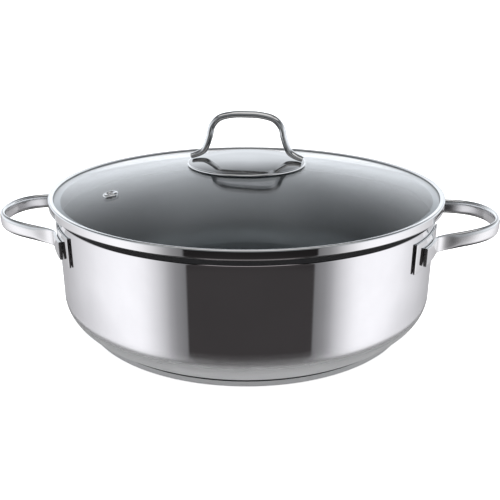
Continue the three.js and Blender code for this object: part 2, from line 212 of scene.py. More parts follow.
# Light in the studio by direction, as (degrees, level). Azimuth counts from the front to either side,
# elevation up from the horizon and depth down from it.
FRONT_BY_DEPTH = [(0, 0.015), (20.7, 0.015), (22, 0.05), (45, 0.05), (52, 0.45), (61, 0.45), (65, 0.01)]
WALLS_BY_AZIMUTH = [
    (36, 0.20), (43, 0.31), (47, 0.44), (50, 0.60), (54, 0.78), (58.5, 0.95), (63, 1.10), (68, 1.18),
    (77, 1.21), (88, 1.17), (99, 1.08), (110, 0.91), (119, 0.80), (128, 0.68), (144, 0.52), (180, 0.42),
]
FADE_BY_DEPTH = [(0, 1), (29, 1), (34, 0.8), (40, 0.42), (43.5, 0.08), (46, 0.01)]
SKY_BELOW = 10  # degrees below the horizon that the sky's list starts at
SKY_FROM_THERE = [
    (0, 0.95), (9.5, 0.95), (9.75, 1.13), (11.4, 1.13), (12, 1.02), (14, 1.14), (17, 1.2), (23.5, 1.02),
    (30, 0.76), (34, 0.58), (40, 0.34), (46, 0.18), (55, 0.12), (66, 0.1),
]
SHADE_BY_AZIMUTH = [(0, 0.3), (30, 0.2), (38, 0.25), (50, 0.55), (70, 0.85), (100, 1.0)]
WINDOW_BY_ELEVATION = [
    (0, 0), (10, 0.12), (14, 0.32), (21, 0.56), (30, 0.6), (34, 0.53), (36.5, 0.46), (38.5, 0.32),
    (40.5, 0.13), (43, 0),
]
WINDOW_BY_AZIMUTH = [(158, 0), (165, 0.33), (171, 0.82), (177, 1.0)]
OVERHEAD_BY_ELEVATION = [(40, 0.95), (56, 0.95), (64, 0.42), (90, 0.42)]
OVERHEAD_BY_AZIMUTH = [(80, 1.0), (110, 0.15)]
ZENITH_BY_ELEVATION = [(66, 0), (72, 0.55), (90, 0.55)]
# A dark rail low at the back gives the lid's handle its dark outline.
RAIL_BY_DEPTH = [(7, 0), (8, 1), (12.5, 1), (13.5, 0)]
RAIL_BY_AZIMUTH = [(128, 0), (142, 1), (165, 1), (170, 0)]
RAIL_LEVEL = 0.08
# Where one part of the studio gives way to the next, in degrees.
FRONT_EDGE = (36.0, 37.2)  # azimuth
HORIZON_EDGE = (-9, -4)  # elevation
FADE_SIDE = (72, 100)  # azimuth over which the walls come to fade higher up
FADE_RISE = 6
OVERHEAD_SIDE = (80, 110)  # azimuth over which the overhead light starts higher up
OVERHEAD_FROM = (41, 52)
OVERHEAD_BLEND = 8


def linked(obj):
    bpy.context.scene.collection.objects.link(obj)
    return obj


def circle(steps):
    """Angles of evenly spaced points round a circle."""
    return [2 * math.pi * i / steps for i in range(steps)]


def arc(centre, width, height, start, end, steps):
    """Points of an elliptical arc in a profile, from one angle to another."""
    angles = [start + (end - start) * i / steps for i in range(steps + 1)]
    return [(centre[0] + width * math.cos(a), centre[1] + height * math.sin(a)) for a in angles]


def surface(height, start, end, steps):
    """Points of a profile read from a height formula between two radii."""
    radii = [start + (end - start) * i / steps for i in range(steps + 1)]
    return [(r, height(r)) for r in radii]


def rounded(corners):
    """A closed profile with arcs at its corners, each given as (radius from axis, height, rounding)."""
    points = []
    for i, (x, z, rounding) in enumerate(corners):
        here = Vector((x, z))
        before = Vector(corners[i - 1][:2]) - here
        after = Vector(corners[(i + 1) % len(corners)][:2]) - here
        if rounding == 0:
            points.append((x, z))
            continue
        half = before.angle(after) / 2
        reach = rounding / math.tan(half)
        before_way, after_way = before.normalized(), after.normalized()
        centre = here + (before_way + after_way).normalized() * (rounding / math.sin(half))
        first = here + before_way * reach - centre
        turn = first.angle_signed(here + after_way * reach - centre)
        if before.length > reach + 2 * SUPPORT:
            points.append(tuple(here + before_way * (reach + SUPPORT)))
        for step in range(ROUND_STEPS + 1):
            spoke = first.copy()
            spoke.rotate(Matrix.Rotation(-turn * step / ROUND_STEPS, 2))
            points.append(tuple(centre + spoke))
        if after.length > reach + 2 * SUPPORT:
            points.append(tuple(here + after_way * (reach + SUPPORT)))
    return points


def mesh_of(name, bm):
    """Closes the building of a mesh: outward faces, smooth curves and crisp corners."""
    bmesh.ops.recalc_face_normals(bm, faces=bm.faces)
    mesh = bpy.data.meshes.new(name)
    bm.to_mesh(mesh)
    bm.free()
    mesh.polygons.foreach_set("use_smooth", [True] * len(mesh.polygons))
    mesh.set_sharp_from_angle(angle=SHARP)
    return mesh


def turned(name, profile, steps=TURN_STEPS, changes=()):
    """Turns a profile of (radius, height) round the Z axis. A profile off the axis is closed.

    Each of the changes is (row of faces, number of the material from that row on).
    """
    bm = bmesh.new()
    rings = []
    for radius, height in profile:
        if radius == 0:
            rings.append([bm.verts.new((0, 0, height))] * steps)
            continue
        places = [(radius * math.cos(a), radius * math.sin(a), height) for a in circle(steps)]
        rings.append([bm.verts.new(place) for place in places])
    closed = profile[0][0] > 0
    for i in range(len(rings) - (0 if closed else 1)):
        low, high = rings[i], rings[(i + 1) % len(rings)]
        for j in range(steps):
            k = (j + 1) % steps
            corners = list(dict.fromkeys((low[j], low[k], high[k], high[j])))
            face = bm.faces.new(corners)
            for first_row, number in changes:
                if i >= first_row:
                    face.material_index = number
    return mesh_of(name, bm)


def ring(name, inner, outer, low, high):
    """A flat ring round the Z axis with rounded edges."""
    edge = min(SMALL_ROUND, (high - low) / 3)
    profile = rounded([(inner, low, edge), (outer, low, edge), (outer, high, edge), (inner, high, edge)])
    return turned(name, profile, SMALL_TURN_STEPS)


def section(half_a, half_b, edge):
    """Outline of a rectangle with rounded edges, as (a, b) pairs."""
    points = []
    for sign_a, sign_b, start in ((1, 1, 0), (-1, 1, 1), (-1, -1, 2), (1, -1, 3)):
        for step in range(ROUND_STEPS + 1):
            angle = math.pi / 2 * (start + step / ROUND_STEPS)
            points.append((sign_a * (half_a - edge) + edge * math.cos(angle),
                           sign_b * (half_b - edge) + edge * math.sin(angle)))
    return points


def bulged(thick, height, power, sides):
    """Outline of a bar's section, as (across its thickness, up) pairs."""
    outline = []
    for angle in circle(sides):
        across, up = math.cos(angle), math.sin(angle)
        outline.append((math.copysign(abs(across) ** (2 / power), across) * thick / 2,
                        math.copysign(abs(up) ** (2 / power), up) * height / 2))
    return outline


def end_rounding():
    """Steps of a rounded end, from its tip inward: (share of its length, share of its height)."""
    angles = [math.pi / 2 * i / ROUND_STEPS for i in range(ROUND_STEPS)]
    return [(1 - math.cos(angle), math.sin(angle)) for angle in angles]


def bar(name, rings):
    """A closed bar through rings of points that all have the same count."""
    bm = bmesh.new()
    loops = [[bm.verts.new(corner) for corner in points] for points in rings]
    for low, high in zip(loops, loops[1:]):
        for j in range(len(low)):
            k = (j + 1) % len(low)
            bm.faces.new((low[j], low[k], high[k], high[j]))
    bm.faces.new(loops[0])
    bm.faces.new(loops[-1])
    return mesh_of(name, bm)


def piece(name, mesh, body, materials, slot, *nodes, turn=None):
    """Makes a piece of the object that rides on a body and stands for CAD nodes."""
    if turn is not None:
        mesh.transform(turn)
    for material in materials:
        mesh.materials.append(material)
    obj = linked(bpy.data.objects.new(name, mesh))
    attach(obj, body)
    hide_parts(*nodes)
    return obj


def drilled(obj, cutter_mesh):
    """Cuts a hole through a piece with another mesh."""
    cutter = linked(bpy.data.objects.new("cutter", cutter_mesh))
    cut = obj.modifiers.new("cut", "BOOLEAN")
    cut.object = cutter
    cut.solver = "EXACT"
    depsgraph = bpy.context.evaluated_depsgraph_get()
    obj.data = bpy.data.meshes.new_from_object(obj.evaluated_get(depsgraph))
    obj.modifiers.clear()
    bpy.data.objects.remove(cutter)


def grey(value):
    return (value, value, value, 1)


class Nodes:
    """Short way to write a node tree: a call adds its nodes and returns the output to go on with."""

    def __init__(self, tree):
        self.tree = tree
        tree.nodes.clear()

    def feed(self, socket, value):
        """Links an output to an input, or sets the input to a plain value."""
        if isinstance(value, bpy.types.NodeSocket):
            self.tree.links.new(value, socket)
        else:
            socket.default_value = value

    def add(self, kind, output=0, inputs=(), **settings):
        node = self.tree.nodes.new(kind)
        for key, value in settings.items():
            setattr(node, key, value)
        for key, value in dict(inputs).items():
            self.feed(node.inputs[key], value)
        return node.outputs[output] if len(node.outputs) else node

    def place(self):
        """Where a point lies on its object, in metres."""
        return self.add("ShaderNodeTexCoord", "Object")

    def axes(self, vector):
        """The X, Y and Z of a vector."""
        node = self.tree.nodes.new("ShaderNodeSeparateXYZ")
        self.feed(node.inputs[0], vector)
        return node.outputs

    def math(self, operation, a, b=0.0):
        return self.add("ShaderNodeMath", inputs={0: a, 1: b}, operation=operation)

    def times(self, a, b):
        return self.add("ShaderNodeVectorMath", inputs={0: a, 1: b}, operation="MULTIPLY")

    def plus(self, a, b):
        return self.add("ShaderNodeVectorMath", inputs={0: a, 1: b}, operation="ADD")

    def spread(self, value, from_min, from_max, to_min, to_max, smooth=False):
        """Stretches one range of values over another."""
        kind = "SMOOTHSTEP" if smooth else "LINEAR"
        limits = {"Value": value, "From Min": from_min, "From Max": from_max,
                  "To Min": to_min, "To Max": to_max}
        return self.add("ShaderNodeMapRange", inputs=limits, interpolation_type=kind)

    def noise(self, place, scale, detail):
        return self.add("ShaderNodeTexNoise", inputs={"Vector": place, "Scale": scale, "Detail": detail})

    def streaks(self, place, stretch, detail):
        """Noise drawn out along the axes with the smallest stretch."""
        stretched = self.add("ShaderNodeMapping", inputs={"Vector": place, "Scale": stretch})
        return self.noise(stretched, scale=1.0, detail=detail)

    def vary(self, noise, low, high):
        """A value that a noise moves between two limits."""
        return self.spread(noise, NOISE_LOW, NOISE_HIGH, low, high)

    def bump(self, height, settings):
        return self.add("ShaderNodeBump", inputs={"Height": height, **settings})

    def ramp(self, value, stops, span):
        """Greys read off a line of (value, level) stops, with values from 0 to the span."""
        node = self.tree.nodes.new("ShaderNodeValToRGB")
        self.feed(node.inputs[0], self.math("DIVIDE", value, span))
        ramp = node.color_ramp
        ramp.interpolation = "LINEAR"
        while len(ramp.elements) < len(stops):
            ramp.elements.new(0.5)
        for element, (position, level) in zip(ramp.elements, stops):
            element.position = position / span
            element.color = grey(level)
        return node.outputs[0]

    def mix(self, factor, a, b):
        node = self.tree.nodes.new("ShaderNodeMix")
        node.data_type = "RGBA"
        for key, value in (("Factor_Float", factor), ("A_Color", a), ("B_Color", b)):
            self.feed(next(s for s in node.inputs if s.identifier == key), value)
        return next(s for s in node.outputs if s.identifier == "Result_Color")


def new_material(name):
    material = bpy.data.materials.new(name)
    material.use_nodes = True
    return material, Nodes(material.node_tree)


def shaded(nodes, surface_inputs):
    shader = nodes.add("ShaderNodeBsdfPrincipled", inputs=surface_inputs)
    nodes.add("ShaderNodeOutputMaterial", inputs={"Surface": shader})


def buffed(nodes, place, stretch):
    """What the buffing wheel leaves: cloudy haze and fine level lines."""
    haze = nodes.noise(place, scale=35.0, detail=6.0)
    lines = nodes.streaks(place, stretch, detail=3.0)
    return haze, lines


def polished_steel(name, dull, bright, mirror=0.035, haze_width=0.04):
    """Mirror-polished stainless steel, with a roughness from the mirror's up by the haze's width."""
    material, n = new_material(name)
    haze, lines = buffed(n, n.place(), stretch=(40, 40, 1500))
    tint = n.mix(n.vary(haze, 0, 1), grey(dull), grey(bright))
    rough = n.spread(n.math("MULTIPLY", haze, lines), HAZE_LOW, HAZE_HIGH, mirror, mirror + haze_width)
    bump = n.bump(lines, BUFF_BUMP)
    shaded(n, {"Base Color": tint, "Metallic": 1.0, "Roughness": rough, "Normal": bump})
    return material


def shell_steel():
    """The pan's outside: mirror polish that fades into a finely brushed foot."""
    material, n = new_material("shell_steel")
    place = n.place()
    height = n.axes(place)["Z"]
    foot = n.ramp(height, [(z * MM, share) for z, share in FOOT_FADE], FOOT_SPAN * MM)
    haze, lines = buffed(n, place, stretch=(30, 30, 1800))
    tint = n.mix(n.vary(haze, 0, 1), (0.76, 0.76, 0.77, 1), (0.80, 0.80, 0.81, 1))
    polish = n.spread(n.math("MULTIPLY", haze, lines), HAZE_LOW, HAZE_HIGH, to_min=0.03, to_max=0.07)
    brushed = n.vary(lines, low=0.3, high=0.42)
    rough = n.math("ADD", polish, n.math("MULTIPLY", foot, brushed))
    metal = n.spread(foot, 0, 1, 1.0, FOOT_METAL)
    bump = n.bump(lines, BUFF_BUMP)
    shaded(n, {"Base Color": tint, "Metallic": metal, "Roughness": rough, "Normal": bump})
    return material


def satin_steel(name, smoothest, roughest, dark, bright):
    """Steel turned on a lathe: fine rings round the axis, softer than the outside."""
    material, n = new_material(name)
    place = n.place()
    x, y, z = n.axes(place)
    radius = n.math("SQRT", n.math("ADD", n.math("POWER", x, 2.0), n.math("POWER", y, 2.0)))
    along = n.math("ADD", radius, z)
    rings = n.add("ShaderNodeTexNoise", inputs={"W": along, "Scale": 2600.0, "Detail": 3.0},
                  noise_dimensions="1D")
    cloud = n.noise(place, scale=22.0, detail=4.0)
    tint = n.mix(n.vary(rings, 0, 1), dark, bright)
    rough = n.spread(n.math("ADD", rings, cloud), 2 * NOISE_LOW, 2 * NOISE_HIGH, smoothest, roughest)
    bump = n.bump(rings, RING_BUMP)
    shaded(n, {"Base Color": tint, "Metallic": 1.0, "Roughness": rough, "Normal": bump})
    return material


def lip_shade_steel():
    """Painted shade under the lip: near-black dull steel for the shadow gap under the lid's band."""
    material, n = new_material("lip_shade_steel")
    grain = n.noise(n.place(), scale=900.0, detail=4.0)
    tint = n.mix(grain, (0.008, 0.008, 0.009, 1), (0.016, 0.016, 0.017, 1))
    rough = n.vary(grain, low=0.75, high=0.9)
    shaded(n, {"Base Color": tint, "Roughness": rough, "Specular IOR Level": 0.15})
    return material


def clear_glass():
    """Tempered glass with a breath of haze."""
    material, n = new_material("clear_glass")
    smear = n.noise(n.place(), scale=14.0, detail=5.0)
    rough = n.spread(smear, from_min=0.45, from_max=0.75, to_min=0.0, to_max=0.012)
    tint = n.mix(n.vary(smear, 0, 1), (0.955, 0.965, 0.97, 1), (0.985, 0.99, 0.99, 1))
    shaded(n, {"Base Color": tint, "Roughness": rough, "Transmission Weight": 1.0, "IOR": 1.5})
    return material


def dark_silicone():
    material, n = new_material("dark_silicone")
    grain = n.noise(n.place(), scale=1800.0, detail=4.0)
    tint = n.mix(grain, (0.020, 0.020, 0.022, 1), (0.034, 0.034, 0.036, 1))
    rough = n.vary(grain, low=0.55, high=0.72)
    bump = n.bump(grain, GRAIN_BUMP)
    shaded(n, {"Base Color": tint, "Roughness": rough, "Normal": bump})
    return material


def seam_shade_aluminium():
    material, n = new_material("seam_shade_aluminium")
    grain = n.streaks(n.place(), stretch=(30, 900, 900), detail=4.0)
    # Near-black tint: painted shade for the seam between cup and shell.
    tint = n.mix(grain, (0.10, 0.10, 0.105, 1), (0.14, 0.14, 0.145, 1))
    rough = n.vary(grain, low=0.32, high=0.48)
    shaded(n, {"Base Color": tint, "Metallic": 1.0, "Roughness": rough})
    return material


def pale_floor():
    material, n = new_material("pale_floor")
    cloud = n.noise(n.place(), scale=3.0, detail=3.0)
    tint = n.mix(cloud, grey(0.90), grey(0.93))
    shaded(n, {"Base Color": tint, "Roughness": 0.85,
               "Emission Color": tint, "Emission Strength": FLOOR_GLOW})
    return material


def glowing_card():
    material, n = new_material("card")
    cloud = n.noise(n.place(), scale=6.0, detail=2.0)
    glow = n.mix(cloud, grey(0.15), grey(0.21))
    shaded(n, {"Base Color": grey(0.02), "Roughness": 0.9,
               "Emission Color": glow, "Emission Strength": 1.0})
    return material


POLISHED = polished_steel("polished_steel", dull=0.76, bright=0.80)
# The plate's steel is darker than the rest of the polish: painted shade for its dim reflections.
SHADED_PLATE_STEEL = polished_steel("shaded_plate_steel", dull=0.37, bright=0.41)
VENT_STEEL = polished_steel("vent_steel", dull=0.84, bright=0.88, mirror=0.2, haze_width=0.06)
STRAP_STEEL = polished_steel("strap_steel", dull=0.78, bright=0.82, mirror=0.15, haze_width=0.06)
LIP_SHADE_STEEL = lip_shade_steel()
SHELL = shell_steel()
SATIN = satin_steel(
    "satin_steel", smoothest=0.32, roughest=0.44,
    dark=(0.38, 0.425, 0.455, 1), bright=(0.475, 0.525, 0.56, 1))
# The inside's tints are set darker than the satin steel's: painted shade of the pan closed under its lid.
SHADED_INSIDE = satin_steel(
    "shaded_inside_steel", smoothest=0.5, roughest=0.62,
    dark=(0.25, 0.28, 0.30, 1), bright=(0.31, 0.345, 0.37, 1))
GLASS = clear_glass()
SILICONE = dark_silicone()
LID_PLACE = Matrix.Rotation(LID_TURN, 4, "Z")


def glass_slope(radius):
    """Fall of the glass for each unit outward, beyond its level seat."""
    return GLASS_RISE * GLASS_POWER / GLASS_RADIUS * (radius / GLASS_RADIUS) ** (GLASS_POWER - 1)


def glass_top(radius):
    outer = GLASS_EDGE_TOP + GLASS_RISE * (1 - (max(radius, GLASS_SEAT) / GLASS_RADIUS) ** GLASS_POWER)
    seat_rise = glass_slope(GLASS_SEAT) * GLASS_SEAT / GLASS_SEAT_POWER
    return outer + seat_rise * (1 - min(radius / GLASS_SEAT, 1) ** GLASS_SEAT_POWER)


def plate_top(radius):
    return PLATE_CROWN - PLATE_DROP * (radius / PLATE_RADIUS) ** PLATE_POWER


def pan_shell():
    """Floor, corner, straight wall and flared lip; polished outside with painted shade under the lip, and
    satin inside darkened as painted shade.
    """
    floor_low = BASE_HEIGHT + GAP
    floor_high = floor_low + SHEET
    centre = (WALL_RADIUS - CORNER_WIDTH, CORNER_CENTRE_Z)
    inner_width = CORNER_WIDTH - SHEET
    inner_height = CORNER_HEIGHT - SHEET
    inner_bend = LIP_BEND + SHEET
    lip_centre = (WALL_RADIUS + LIP_BEND, LIP_START)
    lip_normal = Vector((math.cos(LIP_LEAN), -math.sin(LIP_LEAN)))
    bend_end = Vector(lip_centre) - lip_normal * LIP_BEND
    lip_end = (bend_end.x + (LIP_TOP - bend_end.y) * math.tan(LIP_LEAN), LIP_TOP)
    lip_turn = math.pi - LIP_LEAN

    def corner_start(low, height):
        return -math.asin((CORNER_CENTRE_Z - low) / height)

    def wall(radius):
        return [(radius, CORNER_CENTRE_Z + MM), (radius, LIP_START - MM)]

    outside = [
        (0, floor_low), (centre[0], floor_low),
        *arc(centre, CORNER_WIDTH, CORNER_HEIGHT, corner_start(floor_low, CORNER_HEIGHT), 0, CORNER_STEPS),
        *wall(WALL_RADIUS),
        *arc(lip_centre, LIP_BEND, LIP_BEND, math.pi, lip_turn, LIP_STEPS),
        lip_end,
    ]
    inside = [
        (lip_end[0] - SHEET / math.cos(LIP_LEAN), LIP_TOP),
        *arc(lip_centre, inner_bend, inner_bend, lip_turn, math.pi, LIP_STEPS),
        *reversed(wall(WALL_RADIUS - SHEET)),
        *arc(centre, inner_width, inner_height, 0, corner_start(floor_high, inner_height), CORNER_STEPS),
        (centre[0], floor_high), (0, floor_high),
    ]
    # The top rows of the flare take the painted shade under the lip.
    shaded_lip_row = len(outside) - 1 - SHADED_LIP_ROWS
    mesh = turned("pan_shell_fine", outside + inside, changes=[(shaded_lip_row, 2), (len(outside), 1)])
    piece("shell", mesh, "pan", [SHELL, SHADED_INSIDE, LIP_SHADE_STEEL], "polished_steel", "pan_shell")


def base_cap():
    """Shallow cup that closes the capsule base."""
    inner = BASE_RADIUS - BASE_SHEET
    top = BASE_HEIGHT - BASE_SEAM - SEAM_EASE
    profile = rounded([
        (0, 0, 0), (BASE_RADIUS, 0, BASE_ROUND), (BASE_RADIUS, top, SEAM_ROUND),
        (inner, top - BASE_SHEET, SEAM_ROUND), (inner, BASE_SHEET, BASE_ROUND), (0, BASE_SHEET, 0),
    ])
    piece("base_cup", turned("base_cup", profile), "pan", [SHELL], "base_steel", "base_cap")


def keep_core():
    """The aluminium core stays as its CAD solid, shut in between cup and shell; its near-black tint is
    painted shade in the seam where it shows.
    """
    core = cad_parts["base_core"]
    core.data.materials.clear()
    core.data.materials.append(seam_shade_aluminium())


def mount_plate(name, side):
    """Curved plate on the wall, to one side of a handle's middle, rounded at its ends."""
    radius = WALL_RADIUS + GAP + MOUNT_THICK / 2
    height = MOUNT_HIGH - MOUNT_LOW
    middle = Vector((0, 0, (MOUNT_LOW + MOUNT_HIGH) / 2))
    up = Vector((0, 0, 1))
    sweep = MOUNT_FAR_ANGLE - MOUNT_NEAR_ANGLE
    angles = [side * (MOUNT_NEAR_ANGLE + sweep * i / MOUNT_STEPS) for i in range(MOUNT_STEPS + 1)]
    outward = [Vector((math.cos(angle), math.sin(angle), 0)) for angle in angles]
    line = [way * radius + middle for way in outward]

    def outline(i, inward=Vector((0, 0, 0)), inset=0.0):
        corners = section(MOUNT_THICK / 2 - inset, height / 2 - inset, SMALL_ROUND - inset)
        return [line[i] + inward + outward[i] * a + up * b for a, b in corners]

    def end(i, nearby):
        way = (line[nearby] - line[i]).normalized()
        return [outline(i, way * SMALL_ROUND * reach, SMALL_ROUND * (1 - rise) * MOUNT_END_INSET)
                for reach, rise in end_rounding()]

    last = MOUNT_STEPS
    between = [outline(i) for i in range(1, last)]
    return bar(name, [*end(0, 1), *between, *reversed(end(last, last - 1))])


def strap_rings():
    """Sections of the strap: along one plate, out round the loop and back along the other plate."""
    radius = WALL_RADIUS + GAP + MOUNT_THICK + GAP + STRAP_THICK / 2
    bend = Vector((math.cos(STRAP_BEND_ANGLE), math.sin(STRAP_BEND_ANGLE))) * radius
    leaving = Vector((math.sin(STRAP_BEND_ANGLE), -math.cos(STRAP_BEND_ANGLE)))
    pulls = [bend, bend + leaving * STRAP_LEAVE, Vector((STRAP_TIP, STRAP_ROUND)), Vector((STRAP_TIP, 0))]
    end_x = radius * math.cos(STRAP_END_ANGLE)
    half = []
    for i in range(STRAP_FOOT_STEPS):
        angle = STRAP_END_ANGLE + (STRAP_BEND_ANGLE - STRAP_END_ANGLE) * i / STRAP_FOOT_STEPS
        half.append(Vector((math.cos(angle), math.sin(angle))) * radius)
    for i in range(STRAP_LOOP_STEPS + 1):
        t = i / STRAP_LOOP_STEPS
        weights = ((1 - t) ** 3, 3 * t * (1 - t) ** 2, 3 * t * t * (1 - t), t ** 3)
        half.append(sum((pull * weight for pull, weight in zip(pulls, weights)), Vector((0, 0))))
    line = half + [Vector((p.x, -p.y)) for p in reversed(half[:-1])]
    rings = []
    for i, point in enumerate(line):
        along = line[min(i + 1, len(line) - 1)] - line[max(i - 1, 0)]
        across = Vector((-along.y, along.x, 0)).normalized()
        outward = min(max((point.x - bend.x) / (STRAP_TIP - bend.x), 0), 1)
        along_foot = min(max((bend.x - point.x) / (bend.x - end_x), 0), 1)
        swell = min(outward / STRAP_SWELL, 1)
        swell = swell * swell * (3 - 2 * swell)
        thick = STRAP_THICK + (STRAP_LOOP_THICK - STRAP_THICK) * swell
        power = STRAP_FOOT_POWER + (STRAP_LOOP_POWER - STRAP_FOOT_POWER) * swell
        height = STRAP_HEIGHT + (STRAP_END_HEIGHT - STRAP_HEIGHT) * along_foot
        middle = Vector((point.x, point.y, STRAP_FOOT_Z + STRAP_TIP_RISE * outward))
        corners = bulged(thick, height, power, STRAP_SIDES)
        rings.append([middle + across * a + Vector((0, 0, b)) for a, b in corners])
    return rings


def side_handles():
    for side, turn in (("right", 0), ("left", math.pi)):
        place = Matrix.Rotation(turn, 4, "Z")
        strap = bar(f"{side}_strap", strap_rings())
        piece(f"{side}_strap", strap, "pan", [STRAP_STEEL], "polished_steel",
              f"{side}_handle_strap", turn=place)
        for end, sign in (("front", -1), ("rear", 1)):
            way = sign if side == "right" else -sign
            plate = mount_plate(f"{side}_{end}_plate", way)
            piece(f"{side}_{end}_plate", plate, "pan", [POLISHED], "polished_steel",
                  f"{side}_{end}_mount", turn=place)


def vent_place():
    """Matrix of the vent's own frame: on top of the glass, with Z square to the glass."""
    steepness = math.atan(glass_slope(VENT_DISTANCE))
    spot = Vector((VENT_DISTANCE * math.cos(VENT_ANGLE), VENT_DISTANCE * math.sin(VENT_ANGLE),
                   glass_top(VENT_DISTANCE)))
    lean = Matrix.Rotation(VENT_ANGLE, 4, "Z") @ Matrix.Rotation(steepness, 4, "Y")
    return LID_PLACE @ Matrix.Translation(spot) @ lean


def lid_glass():
    """Dome with a hole for the screw in its middle and one for the vent."""
    def under(radius):
        return glass_top(radius) - GLASS_THICK

    profile = [
        *surface(under, GLASS_HOLE, GLASS_SEAT, GLASS_SEAT_STEPS),
        *surface(under, GLASS_SEAT, GLASS_RADIUS, GLASS_STEPS)[1:],
        *surface(glass_top, GLASS_RADIUS, GLASS_SEAT, GLASS_STEPS),
        *surface(glass_top, GLASS_SEAT, GLASS_HOLE, GLASS_SEAT_STEPS)[1:],
    ]
    glass = piece("glass_dome", turned("glass_dome", profile), "lid", [GLASS], "lid_glass", "lid_glass",
                  turn=LID_PLACE)
    drill_low = -3 * GLASS_THICK
    drill = turned("drill", [(0, drill_low), (VENT_HOLE, drill_low), (VENT_HOLE, GLASS_THICK),
                             (0, GLASS_THICK)], SMALL_TURN_STEPS)
    drill.transform(vent_place())
    drilled(glass, drill)


def lid_rim_band():
    """Channel round the glass, with the ring that centres the lid in the pan's mouth."""
    channel = GLASS_RADIUS + GAP
    channel_floor = GLASS_EDGE_TOP - GLASS_THICK - GAP
    centring_inner = CENTRING_OUTER - CENTRING_WALL
    fold_low = (BAND_INNER, glass_top(BAND_INNER) + GAP)
    profile = rounded([
        (centring_inner, CENTRING_LOW, SMALL_ROUND), (CENTRING_OUTER, CENTRING_LOW, SMALL_ROUND),
        (CENTRING_OUTER, BAND_LOW, SMALL_ROUND), (BAND_RADIUS, BAND_LOW, BAND_LOW_ROUND),
        (BAND_RADIUS, BAND_TOP, BAND_ROUND), (BAND_INNER, BAND_INNER_TOP, SMALL_ROUND),
        (*fold_low, 0), (channel, glass_top(channel) + GAP, 0),
        (channel, channel_floor, 0), (centring_inner, channel_floor, SMALL_ROUND),
    ])
    mesh = turned("rim_band", profile, changes=[(profile.index(fold_low), 1)])
    piece("rim_band", mesh, "lid", [POLISHED, SATIN], "polished_steel", "lid_rim_band", turn=LID_PLACE)


def steam_vent():
    """Rolled eyelet through the glass and the collar that holds it from below."""
    place = vent_place()
    collar_high = -(GLASS_THICK + GAP)
    collar_low = collar_high - VENT_COLLAR_THICK
    tube_low = collar_low - VENT_TUBE_PROUD
    middle = (VENT_FLANGE + VENT_BORE) / 2
    roll = arc((middle, GAP), VENT_FLANGE - middle, VENT_CROWN - GAP, 0, math.pi, VENT_ROLL_STEPS)
    profile = [(VENT_BORE, tube_low), (VENT_TUBE, tube_low), (VENT_TUBE, GAP), *roll]
    eyelet = turned("eyelet", profile, SMALL_TURN_STEPS)
    piece("eyelet", eyelet, "lid", [VENT_STEEL], "polished_steel", "vent_eyelet", turn=place)
    collar = ring("collar", VENT_TUBE + GAP, VENT_COLLAR, collar_low, collar_high)
    piece("collar", collar, "lid", [POLISHED], "polished_steel", "vent_collar", turn=place)


def handle_plate():
    """Shallow polished disc with a turned-down rim."""
    def under(radius):
        return plate_top(radius) - PLATE_THICK

    rim_inner = PLATE_RADIUS - PLATE_THICK
    rim_start = PLATE_RADIUS - PLATE_EDGE
    rim_centre = (rim_start, plate_top(rim_start) - PLATE_EDGE)
    lip = [
        (rim_inner, PLATE_LIP_LOW + SMALL_ROUND), (rim_inner + SMALL_ROUND, PLATE_LIP_LOW),
        (PLATE_RADIUS - SMALL_ROUND, PLATE_LIP_LOW), (PLATE_RADIUS, PLATE_LIP_LOW + SMALL_ROUND),
        *arc(rim_centre, PLATE_EDGE, PLATE_EDGE, 0, math.pi / 2, ROUND_STEPS)[:-1],
    ]
    underside = surface(under, 0, rim_inner, PLATE_UNDER_STEPS)
    lip_row = len(underside)
    profile = underside + lip + surface(plate_top, rim_start, 0, PLATE_STEPS)
    # The rim keeps the plain polish; the rest of the plate takes the darkened steel, painted shade.
    mesh = turned("plate", profile, changes=[(lip_row, 1), (lip_row + len(lip), 0)])
    piece("plate", mesh, "lid", [SHADED_PLATE_STEEL, POLISHED], "polished_steel", "handle_plate", turn=LID_PLACE)


def spline(points, steps):
    """Points of a smooth curve through all the given ones, with steps between each pair."""
    line = []
    for i in range(len(points) - 1):
        before = points[max(i - 1, 0)]
        start, end = points[i], points[i + 1]
        after = points[min(i + 2, len(points) - 1)]
        for step in range(steps):
            t = step / steps
            pull = (end - before) * 0.5 * t
            bend = (before * 2 - start * 5 + end * 4 - after) * 0.5 * t * t
            twist = (start * 3 - before - end * 3 + after) * 0.5 * t ** 3
            line.append(start + pull + bend + twist)
    return line + [points[-1]]


def lid_handle():
    """Arch bent from an oval bar, thinner and rounded at its feet."""
    half = [Vector((x * MM, z * MM)) for x, z in ARCH_HALF]
    route = half + [Vector((-p.x, p.y)) for p in reversed(half[:-1])]
    foot, heel = half[0].x, half[2].x
    line = spline(route, ARCH_STEPS)
    last = len(line) - 1

    def outline(i, inward=0.0, share=1.0):
        way = (line[min(i + 1, last)] - line[max(i - 1, 0)]).normalized()
        along, across = Vector((way.x, 0, way.y)), Vector((-way.y, 0, way.x))
        along_foot = min(max((abs(line[i].x) - heel) / (foot - heel), 0), 1)
        thick = ARCH_THICK + (ARCH_FOOT_THICK - ARCH_THICK) * along_foot
        middle = Vector((line[i].x, 0, line[i].y)) + along * inward
        corners = bulged(thick * share, ARCH_WIDTH * share, OVAL, ARCH_SIDES)
        return [middle + across * a + Vector((0, b, 0)) for a, b in corners]

    def end(i, way):
        return [outline(i, way * ARCH_END * reach, (1 + rise) / 2) for reach, rise in end_rounding()]

    between = [outline(i) for i in range(1, last)]
    arch = bar("arch", [*end(0, 1), *between, *reversed(end(last, -1))])
    piece("arch", arch, "lid", [POLISHED], "polished_steel", "lid_handle", turn=LID_PLACE)


